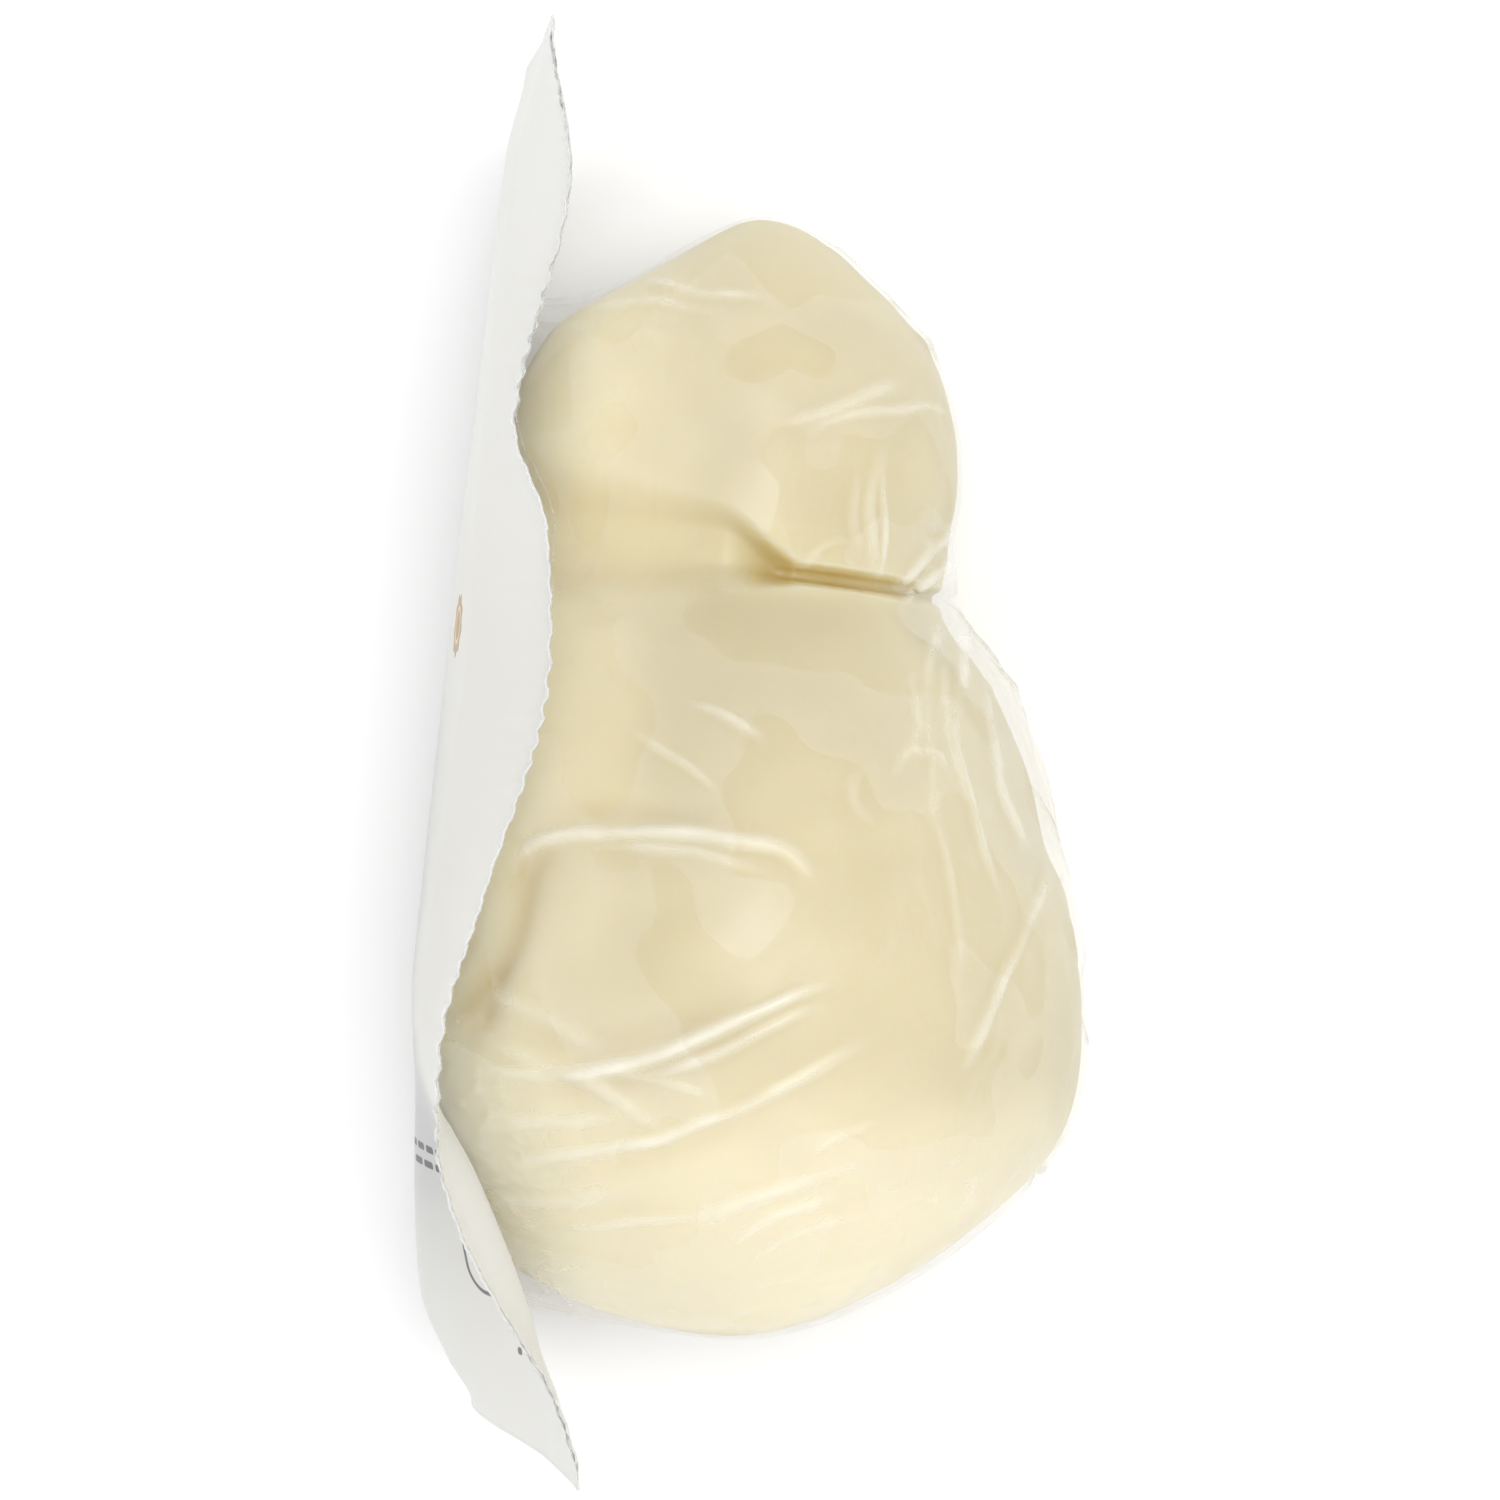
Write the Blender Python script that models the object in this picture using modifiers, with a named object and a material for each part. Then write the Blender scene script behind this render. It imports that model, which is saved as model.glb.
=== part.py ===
"""A scamorza in its vacuum pack, lying on its side, in metres with +Z up.

The cheese is a gourd: a large body and a small head, pinched together at a neck. Clear film is shrunk
over it and sealed to a white backing sheet, which stands on edge beside it. +X points away from the sheet,
through the cheese. +Y runs along the pack from the body's end to the head's end. The origin is on the
floor, under the middle of the pack. The sizes below count x and y from a point on the gourd's axis, CENTRE
short of the origin.
"""

import math

import bmesh
import bpy
from mathutils import Vector

CENTRE = Vector((0.00396, -0.00024, 0.0))

# The cheese in its film runs along a gently bent axis between its two end poles: (y, x) and (y, z).
AXIS_X = ((-0.0638, 0.0020), (-0.0260, 0.0045), (0.0200, -0.0015), (0.0628, -0.0045))
AXIS_Z = ((-0.0638, 0.0370), (-0.0260, 0.0382), (0.0180, 0.0330), (0.0400, 0.0296), (0.0628, 0.0290))
# Fullness of the four sides, as (y, radius of the round that the section at y is cut from).
SIDE_OFF_SHEET = (
    (-0.0638, 0.0415), (-0.0520, 0.0444), (-0.0390, 0.0450), (-0.0270, 0.0410), (-0.0070, 0.0348),
    (0.0030, 0.0330), (0.0125, 0.0312), (0.0245, 0.0266), (0.0360, 0.0303), (0.0490, 0.0330),
    (0.0628, 0.0290),
)
SIDE_AT_SHEET = (
    (-0.0638, 0.0900), (-0.0560, 0.0620), (-0.0400, 0.0520), (-0.0200, 0.0420), (0.0050, 0.0370),
    (0.0230, 0.0345), (0.0420, 0.0420), (0.0530, 0.0300), (0.0628, 0.0210),
)
UPPER_SIDE = (
    (-0.0638, 0.0430), (-0.0520, 0.0462), (-0.0400, 0.0458), (-0.0220, 0.0423), (0.0000, 0.0372),
    (0.0120, 0.0300), (0.0200, 0.0222), (0.0270, 0.0268), (0.0360, 0.0325), (0.0480, 0.0388),
    (0.0628, 0.0420),
)
LOWER_SIDE = (
    (-0.0638, 0.0430), (-0.0520, 0.0465), (-0.0400, 0.0462), (-0.0240, 0.0415), (0.0000, 0.0360),
    (0.0120, 0.0290), (0.0200, 0.0250), (0.0270, 0.0300), (0.0360, 0.0368), (0.0480, 0.0442),
    (0.0628, 0.0430),
)
SECTION_POWER = 2.1  # a little fuller than an ellipse

# Neck crease: sharp on the side off the sheet, a shallow valley next to the sheet.
CREASE_Y = 0.0203
CREASE_CLIMB = 0.0036  # how far both its ends climb towards the head
CREASE_DEPTH = 0.0050
CREASE_HALF_WIDTH = 0.0034
VALLEY_DEPTH = 0.0020
VALLEY_HALF_WIDTH = 0.0060

# Backing sheet: an oblong that stands on edge, with the middle of its lower margin tucked under the cheese.
SHEET_X = -0.0334  # middle of the sheet's thickness
SHEET_THICKNESS = 0.0008
SHEET_ENDS_Y = (-0.0725, 0.0722)
SHEET_EDGE_Z = 0.0900
UPPER_CORNER_RADIUS = 0.0035
LOWER_CORNER_RADIUS = 0.0080
TUCK_RADIUS = 0.0100
TUCK_RUN = 0.0080
# The stretches along the pack over which the margin begins and ends its curve, and its run along the floor.
CURVE_FROM, CURVE_TO = (-0.0680, -0.0380), (0.0200, 0.0520)
RUN_FROM, RUN_TO = (-0.0380, -0.0160), (-0.0020, 0.0200)
BELLY_Z = 0.0450  # below this height the sheet is flat across
ROOT_Z = 0.0755  # height at which the free upper margin begins

# How far the sheet leans towards the cheese, at its upper edge, at the margin's root and below its belly,
# as (distance along the pack, lean).
EDGE_LEAN = (
    (-0.0725, 0.0254), (-0.0636, 0.0222), (-0.0580, 0.0180), (-0.0537, 0.0147), (-0.0477, 0.0108),
    (-0.0400, 0.0078), (-0.0300, 0.0069), (-0.0154, 0.0094), (0.0060, 0.0133), (0.0213, 0.0115),
    (0.0320, 0.0070), (0.0550, 0.0098), (0.0722, 0.0062),
)
ROOT_LEAN = (
    (-0.0725, 0.0222), (-0.0660, 0.0208), (-0.0604, 0.0192), (-0.0560, 0.0173), (-0.0500, 0.0142),
    (-0.0438, 0.0106), (-0.0384, 0.0068), (-0.0330, 0.0044), (-0.0270, 0.0034), (0.0060, 0.0042),
    (0.0320, 0.0030), (0.0600, 0.0033), (0.0722, 0.0046),
)
BELLY_LEAN = (
    (-0.0725, 0.0118), (-0.0675, 0.0084), (-0.0612, 0.0048), (-0.0514, 0.0030), (-0.0350, 0.0012),
    (-0.0240, 0.0), (0.0630, 0.0), (0.0722, 0.0010),
)

# Film: it spans the corner between the cheese and the sheet in a concave flare.
FLARE_REACH = 0.0080
FLARE_DEPTH = 0.0050
FLARE_CENTRE_Y = -0.0080
FLARE_FROM = (-0.0540, -0.0260)  # the stretch it grows over, as the body's end runs to the sheet anyway
SEAL_GAP = 0.0003  # between the film's back and the sheet's inner face

POCKET_SEGMENTS = 52
POCKET_RINGS = 80
SHEET_STEPS_ALONG = 46
SHEET_STEPS_ACROSS = 28


def through(points, at):
    """Value at a distance along a smooth curve through points given as sorted (distance, value) pairs."""
    last = len(points) - 1
    if at <= points[0][0]:
        return points[0][1]
    if at >= points[last][0]:
        return points[last][1]
    i = next(n for n in range(last) if at < points[n + 1][0])
    x0, y0 = points[i]
    x1, y1 = points[i + 1]
    span = x1 - x0

    def slope(n):
        """Slope at point n that never overshoots its neighbours."""
        if n in (0, last):
            return 0.0
        before = (points[n][1] - points[n - 1][1]) / (points[n][0] - points[n - 1][0])
        after = (points[n + 1][1] - points[n][1]) / (points[n + 1][0] - points[n][0])
        return 0.0 if before * after <= 0 else 2 * before * after / (before + after)

    t = (at - x0) / span
    return (
        (2 * t**3 - 3 * t**2 + 1) * y0
        + (t**3 - 2 * t**2 + t) * span * slope(i)
        + (3 * t**2 - 2 * t**3) * y1
        + (t**3 - t**2) * span * slope(i + 1)
    )


def smoothstep(low, high, value):
    t = min(1.0, max(0.0, (value - low) / (high - low)))
    return t * t * (3 - 2 * t)


def mix(a, b, share):
    return a + (b - a) * share


def tuck(y):
    """The angle the sheet's lower margin curves through by the floor, and how far it then runs along it."""
    curved = smoothstep(*CURVE_FROM, y) * (1 - smoothstep(*CURVE_TO, y))
    flat = smoothstep(*RUN_FROM, y) * (1 - smoothstep(*RUN_TO, y))
    return math.pi / 2 * curved, TUCK_RUN * flat


def sheet_lean(y, z):
    """How far the sheet at this height leans from its plane towards the cheese."""
    belly, root, edge = (through(lean, y) for lean in (BELLY_LEAN, ROOT_LEAN, EDGE_LEAN))
    return through(((BELLY_Z, belly), (ROOT_Z, root), (SHEET_EDGE_Z, edge)), z)


def sheet_x(y, z):
    """X of the sheet's middle surface at a height, with the curve of its tuck."""
    drop = math.sin(tuck(y)[0]) - (z - SHEET_THICKNESS / 2) / TUCK_RADIUS
    curve = TUCK_RADIUS * (1 - math.sqrt(1 - min(1.0, drop) ** 2)) if drop > 0 else 0.0
    return SHEET_X + sheet_lean(y, z) + curve


def section_reach(y, turn, roundness):
    """Distance from the axis to the film in the section at y. turn 0 is +X and a quarter turn is +Z."""
    across, up = math.cos(turn), math.sin(turn)
    side = through(SIDE_OFF_SHEET if across > 0 else SIDE_AT_SHEET, y) * roundness
    height = through(UPPER_SIDE if up > 0 else LOWER_SIDE, y) * roundness
    total = (abs(across) / side) ** SECTION_POWER + (abs(up) / height) ** SECTION_POWER
    return total ** (-1 / SECTION_POWER)


def crease(y, turn):
    """How deep the neck's crease is at y, in direction turn."""
    across = math.cos(turn)
    sharp = smoothstep(-0.35, 0.15, across)
    middle = CREASE_Y + CREASE_CLIMB * (smoothstep(0.5, 1.0, across) + smoothstep(0.0, -0.4, across))
    narrow = math.exp(-(((y - middle) / CREASE_HALF_WIDTH) ** 2)) * CREASE_DEPTH
    wide = math.exp(-(((y - middle) / VALLEY_HALF_WIDTH) ** 2)) * VALLEY_DEPTH
    return mix(wide, narrow, sharp) * (1 - 0.6 * smoothstep(0.6, 1.0, across))


def pocket_point(unit):
    """Where a point of the unit sphere goes on the film's outside. The sphere's poles lie along +-Y."""
    y = mix(AXIS_X[0][0], AXIS_X[-1][0], (1 + unit.z) / 2)
    roundness = math.sqrt(max(0.0, 1 - unit.z**2))
    start = Vector((through(AXIS_X, y), y, through(AXIS_Z, y)))
    if roundness < 1e-4:
        return start
    turn = math.atan2(unit.y, unit.x)
    reach = section_reach(y, turn, roundness) - crease(y, turn)
    point = start + Vector((math.cos(turn), 0, math.sin(turn))) * reach
    # The flare pushes the film outwards along the sheet, the more the closer it is to the sheet.
    gap = max(0.0, point.x - sheet_x(y, point.z))
    outwards = Vector((0, (point.y - FLARE_CENTRE_Y) * 0.6, point.z - start.z)).normalized()
    point += outwards * FLARE_REACH * smoothstep(*FLARE_FROM, y) * math.exp(-gap / FLARE_DEPTH)
    return seated(point)


def seated(point):
    """The point kept above the floor and on the cheese's side of the sheet."""
    angle, run = tuck(point.y)
    over_tuck = SHEET_X + TUCK_RADIUS * (1 - math.cos(angle)) + run + 3 * SEAL_GAP
    floor = SHEET_THICKNESS + SEAL_GAP if point.x < over_tuck else 0.0
    point.z = max(point.z, floor)
    point.x = max(point.x, sheet_x(point.y, point.z) + SHEET_THICKNESS / 2 + SEAL_GAP)
    return point


def sheet_point(across, along):
    """Where a point of the unit square goes on the sheet's middle surface. across runs from the top down."""
    angle, run = tuck(mix(*SHEET_ENDS_Y, along))
    standing = SHEET_EDGE_Z - TUCK_RADIUS * math.sin(angle)
    arc = TUCK_RADIUS * angle
    width = standing + arc + run
    down = across * width
    trim = max(corner_trim(down, UPPER_CORNER_RADIUS), corner_trim(width - down, LOWER_CORNER_RADIUS))
    y = mix(SHEET_ENDS_Y[0] + trim, SHEET_ENDS_Y[1] - trim, along)
    turned = min(angle, max(0.0, down - standing) / TUCK_RADIUS)
    on_floor = max(0.0, down - standing - arc)
    z = max(0.0, SHEET_EDGE_Z - min(down, standing) - TUCK_RADIUS * math.sin(turned))
    x = SHEET_X + sheet_lean(y, z) + TUCK_RADIUS * (1 - math.cos(turned)) + on_floor
    return Vector((x, y, z + SHEET_THICKNESS / 2))


def corner_trim(from_edge, radius):
    """How much a rounded corner shortens the sheet at a distance from its long edge."""
    short = max(0.0, radius - from_edge)
    return radius - math.sqrt(max(0.0, radius**2 - short**2))


def material(name, colour, roughness):
    made = bpy.data.materials.new(name)
    made.use_nodes = True
    shader = made.node_tree.nodes["Principled BSDF"]
    shader.inputs["Base Color"].default_value = (*colour, 1.0)
    shader.inputs["Roughness"].default_value = roughness
    return made


def node(name, mesh_builder, colour, roughness, collection):
    """One named object of the part, from a function that fills a bmesh."""
    mesh = bpy.data.meshes.new(name)
    shape = bmesh.new()
    mesh_builder(shape)
    bmesh.ops.recalc_face_normals(shape, faces=shape.faces)
    shape.to_mesh(mesh)
    shape.free()
    mesh.shade_smooth()
    mesh.materials.append(material(name, colour, roughness))
    made = bpy.data.objects.new(name, mesh)
    collection.objects.link(made)
    return made


def fill_pocket(shape):
    bmesh.ops.create_uvsphere(shape, u_segments=POCKET_SEGMENTS, v_segments=POCKET_RINGS, radius=1.0)
    for vertex in shape.verts:
        vertex.co = pocket_point(vertex.co) - CENTRE


def fill_sheet(shape):
    bmesh.ops.create_grid(shape, x_segments=SHEET_STEPS_ACROSS, y_segments=SHEET_STEPS_ALONG, size=0.5)
    for vertex in shape.verts:
        vertex.co = sheet_point(vertex.co.x + 0.5, vertex.co.y + 0.5) - CENTRE


def build():
    for old in list(bpy.data.objects):
        bpy.data.objects.remove(old)
    pack = bpy.data.collections.new("scamorza_pack")
    bpy.context.scene.collection.children.link(pack)
    node("cheese_in_film", fill_pocket, (0.80, 0.70, 0.47), 0.35, pack)
    sheet = node("backing_sheet", fill_sheet, (0.78, 0.78, 0.76), 0.45, pack)
    thick = sheet.modifiers.new("thickness", "SOLIDIFY")
    thick.thickness = SHEET_THICKNESS
    thick.offset = 0.0


build()
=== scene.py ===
"""Looks for the vacuum-packed scamorza: the cheese, its clear film, the printed sheet and the studio.

Lengths are in metres, in the part's own frame: +Z up, +X away from the sheet, +Y from the body to the head.
Folds, dents and crinkles are in mm. A turn is an angle round the gourd's axis, from +X towards +Z.
"""
import math
import random

import bpy
import numpy as np
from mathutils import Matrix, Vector, noise


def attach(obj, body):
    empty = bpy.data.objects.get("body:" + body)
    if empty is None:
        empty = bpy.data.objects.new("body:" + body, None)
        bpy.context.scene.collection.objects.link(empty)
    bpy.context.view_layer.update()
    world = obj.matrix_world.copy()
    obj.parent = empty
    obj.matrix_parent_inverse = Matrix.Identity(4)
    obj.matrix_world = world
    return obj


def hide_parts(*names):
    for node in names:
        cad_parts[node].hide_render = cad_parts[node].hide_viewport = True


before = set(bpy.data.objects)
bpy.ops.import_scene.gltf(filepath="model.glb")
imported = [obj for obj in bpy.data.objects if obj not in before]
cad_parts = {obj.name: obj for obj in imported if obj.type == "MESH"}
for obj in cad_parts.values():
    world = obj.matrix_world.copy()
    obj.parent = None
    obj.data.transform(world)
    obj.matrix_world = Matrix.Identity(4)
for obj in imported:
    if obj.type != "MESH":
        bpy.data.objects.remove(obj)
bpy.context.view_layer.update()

# ---------------------------------------------------------------- sizes of the forms
# They are the part's, apart from a neck that is finer here, the cheese's own side next to the sheet, and a
# sheet that is as thin as the real one.
CENTRE = np.array((0.00396, -0.00024, 0.0))
AXIS_X = ((-0.0638, 0.0020), (-0.0260, 0.0045), (0.0200, -0.0015), (0.0628, -0.0045))
AXIS_Z = ((-0.0638, 0.0370), (-0.0260, 0.0382), (0.0180, 0.0330), (0.0400, 0.0296), (0.0628, 0.0290))
# Fullness of the four sides, as (y, radius of the round that the section at y is cut from).
SIDE_OFF_SHEET = (
    (-0.0638, 0.0415), (-0.0520, 0.0444), (-0.0390, 0.0450), (-0.0270, 0.0410), (-0.0070, 0.0348),
    (0.0030, 0.0330), (0.0125, 0.0307), (0.0220, 0.0254), (0.0270, 0.0259), (0.0360, 0.0294),
    (0.0490, 0.0328), (0.0628, 0.0290),
)
FILM_AT_SHEET = (
    (-0.0638, 0.0900), (-0.0560, 0.0620), (-0.0400, 0.0520), (-0.0200, 0.0420), (0.0050, 0.0370),
    (0.0230, 0.0345), (0.0420, 0.0420), (0.0530, 0.0300), (0.0628, 0.0210),
)
CHEESE_AT_SHEET = (
    (-0.0638, 0.0520), (-0.0520, 0.0540), (-0.0400, 0.0508), (-0.0200, 0.0418), (0.0050, 0.0368),
    (0.0180, 0.0330), (0.0250, 0.0330), (0.0400, 0.0362), (0.0470, 0.0364), (0.0540, 0.0290),
    (0.0628, 0.0210),
)
UPPER_SIDE = (
    (-0.0638, 0.0430), (-0.0520, 0.0462), (-0.0400, 0.0458), (-0.0220, 0.0423), (0.0000, 0.0372),
    (0.0120, 0.0316), (0.0200, 0.0256), (0.0270, 0.0286), (0.0360, 0.0330), (0.0480, 0.0388),
    (0.0628, 0.0420),
)
LOWER_SIDE = (
    (-0.0638, 0.0430), (-0.0520, 0.0465), (-0.0400, 0.0462), (-0.0240, 0.0415), (0.0000, 0.0360),
    (0.0120, 0.0290), (0.0200, 0.0250), (0.0270, 0.0300), (0.0360, 0.0368), (0.0480, 0.0442),
    (0.0628, 0.0430),
)
SECTION_POWER = 2.1  # a little fuller than an ellipse
RING_CROWDING = 0.45  # how much closer together a ring's points lie on the upper side
POLE_FADE = 4  # how quickly the crease and the web grow from nothing at the two poles

CREASE_Y = 0.0216
CREASE_ENDS_ACROSS = 0.22  # cosine of the turn at which the crease opens into the valley
CREASE_FADE_ACROSS = (0.40, 0.90)  # cosines of the turns between which it grows shallower
CREASE_FADE = 0.75  # the share of its depth that it loses there
CREASE_BODY_WIDTH = 0.0011
CREASE_HEAD_WIDTH = 0.0012
CREASE_SHARPNESS = 1.3
VALLEY_HEAD_WIDTH = 0.0085
VALLEY_UPPER_RISE = 0.0040
VALLEY_LOWER_DROP = 0.0078
VALLEY_FLOOR_SHARE = 0.4  # how far up between its edges the body's side has reached its floor
# The shares of the opening by which the valley's upper edge has risen and its depth has settled.
VALLEY_RISEN, VALLEY_SETTLED = 0.32, 0.30
# The depths of the crease and the valley.
FILM_CREASE = (0.0046, 0.0016)
CHEESE_CREASE = (0.0047, 0.0017)

SHEET_X = -0.0334
SHEET_THICKNESS = 0.00024
SHEET_ENDS_Y = (-0.0725, 0.0722)
SHEET_EDGE_Z = 0.0902
UPPER_CORNER_RADIUS = 0.0035
LOWER_CORNER_RADIUS = 0.0080
TUCK_RADIUS = 0.0100
TUCK_RUN = 0.0080
TUCK_CLEARANCE = 0.0009  # what lies on the tucked margin stays above it this far past its edge
CURVE_FROM, CURVE_TO = (-0.0680, -0.0380), (0.0200, 0.0520)
RUN_FROM, RUN_TO = (-0.0380, -0.0160), (-0.0020, 0.0200)
BELLY_Z = 0.0450
ROOT_Z = 0.0755
EDGE_Z = 0.0900
EDGE_LEAN = (
    (-0.0725, 0.0254), (-0.0636, 0.0222), (-0.0580, 0.0180), (-0.0537, 0.0147), (-0.0477, 0.0108),
    (-0.0400, 0.0078), (-0.0300, 0.0069), (-0.0154, 0.0094), (0.0060, 0.0133), (0.0213, 0.0115),
    (0.0320, 0.0070), (0.0550, 0.0098), (0.0722, 0.0062),
)
ROOT_LEAN = (
    (-0.0725, 0.0222), (-0.0660, 0.0208), (-0.0604, 0.0192), (-0.0560, 0.0173), (-0.0500, 0.0142),
    (-0.0438, 0.0106), (-0.0384, 0.0068), (-0.0330, 0.0044), (-0.0270, 0.0034), (0.0060, 0.0042),
    (0.0320, 0.0030), (0.0600, 0.0033), (0.0722, 0.0046),
)
BELLY_LEAN = (
    (-0.0725, 0.0118), (-0.0675, 0.0084), (-0.0612, 0.0048), (-0.0514, 0.0030), (-0.0350, 0.0012),
    (-0.0240, 0.0), (0.0630, 0.0), (0.0722, 0.0010),
)
FLARE_REACH = 0.0080
FLARE_DEPTH = 0.0050
FLARE_CENTRE_Y = -0.0080
FLARE_FROM = (-0.0540, -0.0260)
FLARE_ALONG = 0.6  # how much of the push runs along the pack

# ---------------------------------------------------------------- sizes of the looks
FILM_GAP = 0.00035  # between the cheese and the film where they cling
FILM_OFF_SHEET = 0.0003
CHEESE_OFF_SHEET, CHEESE_OFF_FLOOR = 0.0007, 0.0004
# How far the film bridges off the cheese along the side away from the sheet, as (y, gap).
WEB_OFF_SHEET = (
    (-0.0638, 0.0010), (-0.0500, 0.0008), (-0.0250, 0.0004), (-0.0100, 0.0006), (-0.0050, 0.0016),
    (0.0050, 0.0018), (0.0120, 0.0023), (0.0170, 0.0028), (0.0225, 0.0016), (0.0265, 0.0005),
    (0.0330, 0.0002),
)
WEB_ACROSS = (0.55, 0.95)  # cosines of the turns between which the web grows to its full gap
SEAL_STRIP = 0.0005  # the film's cut edge stands this far past the sheet's
SEAL_GAP = 0.00022  # between the sheet's middle and the film sealed over it
BLISTER_Y, BLISTER_HALF_WIDTH = 0.0245, 0.0060  # where the seal lifts at the cut edge, by the neck
BLISTER_HEIGHT, BLISTER_DEPTH = 0.00085, 0.0060
RIPPLE_PITCH = 0.0027
RIPPLE_HEIGHT = 0.00022
RIPPLE_DEPTH = 0.0035  # the ripple dies away this far below the cut edge
TOOTH_PITCH = 0.00093
SHEET_LUMP_SIZE, SHEET_LUMP_HEIGHT = 0.022, 0.00035

# Folds of the film on the side that shows: ((x, y) stops of the path, half width, height, haze), in mm.
FILM_FOLDS = (
    # across the body, from the sheet's side, top one first
    (((-27.5, -14.0), (-23.5, -9.0), (-9.0, -7.0), (0.5, -7.0), (5.0, -9.5)), 0.55, 0.75, 0.60),
    (((-20.0, -9.2), (-8.0, -8.6), (0.0, -9.4)), 0.40, 0.35, 0.30),
    (((-28.5, -34.5), (-13.5, -31.5), (-1.0, -24.5), (8.5, -19.5)), 0.60, 0.90, 0.65),
    (((-12.0, -33.2), (-2.0, -27.6), (7.0, -22.6)), 0.45, 0.40, 0.35),
    (((-25.0, -44.0), (-12.5, -40.0), (1.5, -33.0), (12.5, -25.0)), 0.50, 0.65, 0.50),
    (((-22.0, -51.0), (-6.5, -47.0), (4.0, -43.0), (14.5, -38.0)), 0.50, 0.35, 0.30),
    (((-30.0, -25.5), (-22.0, -27.5), (-14.5, -30.0)), 0.80, 0.45, 0.25),
    (((-30.5, -30.5), (-16.0, -33.5), (-7.0, -37.5)), 0.70, 0.40, 0.25),
    (((-28.0, -40.0), (-20.0, -38.5), (-12.0, -36.5)), 0.60, 0.35, 0.22),
    (((-26.0, -48.0), (-17.0, -46.5), (-10.0, -44.0)), 0.60, 0.35, 0.22),
    (((-15.5, -32.0), (-9.0, -32.0), (-3.0, -33.0)), 0.45, 0.25, 0.20),
    (((0.0, -49.0), (5.0, -45.0), (12.5, -42.5)), 0.40, 0.22, 0.25),
    (((2.0, -51.5), (7.5, -47.0), (16.0, -44.0)), 0.40, 0.22, 0.20),
    (((7.5, -38.5), (10.0, -36.0), (14.0, -34.0)), 0.40, 0.20, 0.20),
    # along the body's far side
    (((30.5, -6.0), (28.0, -12.0), (24.0, -22.0), (22.0, -29.0)), 0.42, 0.50, 0.34),
    (((17.5, 12.0), (19.0, 3.0), (22.0, -5.0), (25.0, -10.0)), 0.40, 0.45, 0.28),
    (((20.5, 14.0), (22.5, 6.0), (25.0, -1.0), (28.0, -6.0)), 0.36, 0.40, 0.30),
    (((15.5, 17.0), (16.8, 10.0), (18.0, 4.0), (20.5, -3.0)), 0.30, 0.30, 0.20),
    (((14.5, 16.0), (15.0, 8.0), (17.0, -4.0), (20.0, -14.0), (20.5, -22.0)), 0.30, 0.25, 0.18),
    (((12.0, 1.0), (13.0, 4.0), (16.0, 4.5), (17.5, 2.0)), 0.45, 0.30, 0.25),
    (((8.5, 3.0), (7.5, 0.0), (8.5, -2.5), (10.5, -4.0)), 0.45, 0.30, 0.25),
    (((12.5, 13.0), (14.0, 8.0), (13.5, 4.5)), 0.50, 0.25, 0.20),
    # between the sheet and the middle, under the neck
    (((-11.5, 7.0), (-6.0, 5.5), (-1.5, 3.5)), 0.45, 0.30, 0.30),
    (((-17.0, 3.5), (-10.5, 0.5), (-6.5, -2.5)), 0.40, 0.22, 0.22),
    # on the head
    (((-3.5, 38.0), (3.0, 41.0), (9.0, 45.0)), 0.60, 0.45, 0.40),
    (((-2.5, 37.0), (4.0, 40.0), (10.5, 42.0), (15.5, 42.0)), 0.50, 0.40, 0.35),
    (((7.5, 37.5), (6.5, 31.0), (7.0, 26.0), (7.5, 22.0)), 0.50, 0.50, 0.35),
    (((4.8, 34.5), (5.0, 28.5), (6.0, 24.0)), 0.40, 0.30, 0.22),
    (((-21.5, 53.0), (-15.0, 51.5), (-6.0, 51.5)), 0.45, 0.25, 0.45),
    (((-27.0, 48.0), (-21.5, 50.0), (-10.0, 49.0)), 0.45, 0.22, 0.20),
    # into the neck
    (((14.0, 28.0), (12.5, 24.5), (10.5, 21.5)), 0.40, 0.50, 0.45),
    (((17.5, 31.5), (15.0, 27.5), (11.0, 23.0)), 0.40, 0.50, 0.40),
    (((18.5, 27.5), (15.5, 24.5), (12.0, 21.5)), 0.35, 0.45, 0.45),
    (((16.0, 25.0), (13.0, 22.5), (11.5, 20.0)), 0.30, 0.40, 0.50),
    (((19.0, 30.0), (17.5, 26.0), (14.5, 22.0)), 0.35, 0.40, 0.45),
    (((7.0, 36.0), (8.2, 29.0), (8.0, 21.0)), 0.30, 0.35, 0.50),
    (((-3.5, 28.0), (-0.5, 22.5), (2.5, 25.5), (5.5, 26.0)), 0.35, 0.35, 0.22),
    (((15.5, 19.0), (14.5, 15.0), (15.0, 11.0)), 0.40, 0.35, 0.35),
    (((19.5, 19.5), (18.0, 15.5), (18.5, 11.0)), 0.40, 0.40, 0.40),
)
FOLD_TAPER = 1.3  # the lower, the longer a fold's ends
RIDGE_WIDTH, RIDGE_HEIGHT = 1.30, 0.80  # a fold's ridge, as shares of its own sizes
MOAT_WIDTH, MOAT_DEPTH = 2.6, 0.20  # the dip on both sides of the ridge
SWAY, SWAY_SIZE = 0.6, 0.0070  # how far folds stray from their paths, in mm, and over what length in metres
UNEVENNESS, UNEVEN_SIZE = 0.7, 0.006
FOLD_IMPRINT = 0.75  # how much of a fold's height the soft cheese takes on
LOWEST_RELIEF = -0.22  # mm that the film's own relief may dip towards the cheese, less than their gap

# Folds on the sides that the photo doesn't show, drawn at random. Turns are in radians, the rest in mm.
OTHER_FOLDS = 56
OTHER_SEED = 5
OTHER_TURNS = (-3.1, 0.25)
OTHER_ENDS_Y = (-57, 57)
ARC_RADIUS = 36.0  # mm along the skin for each radian of turn

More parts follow.
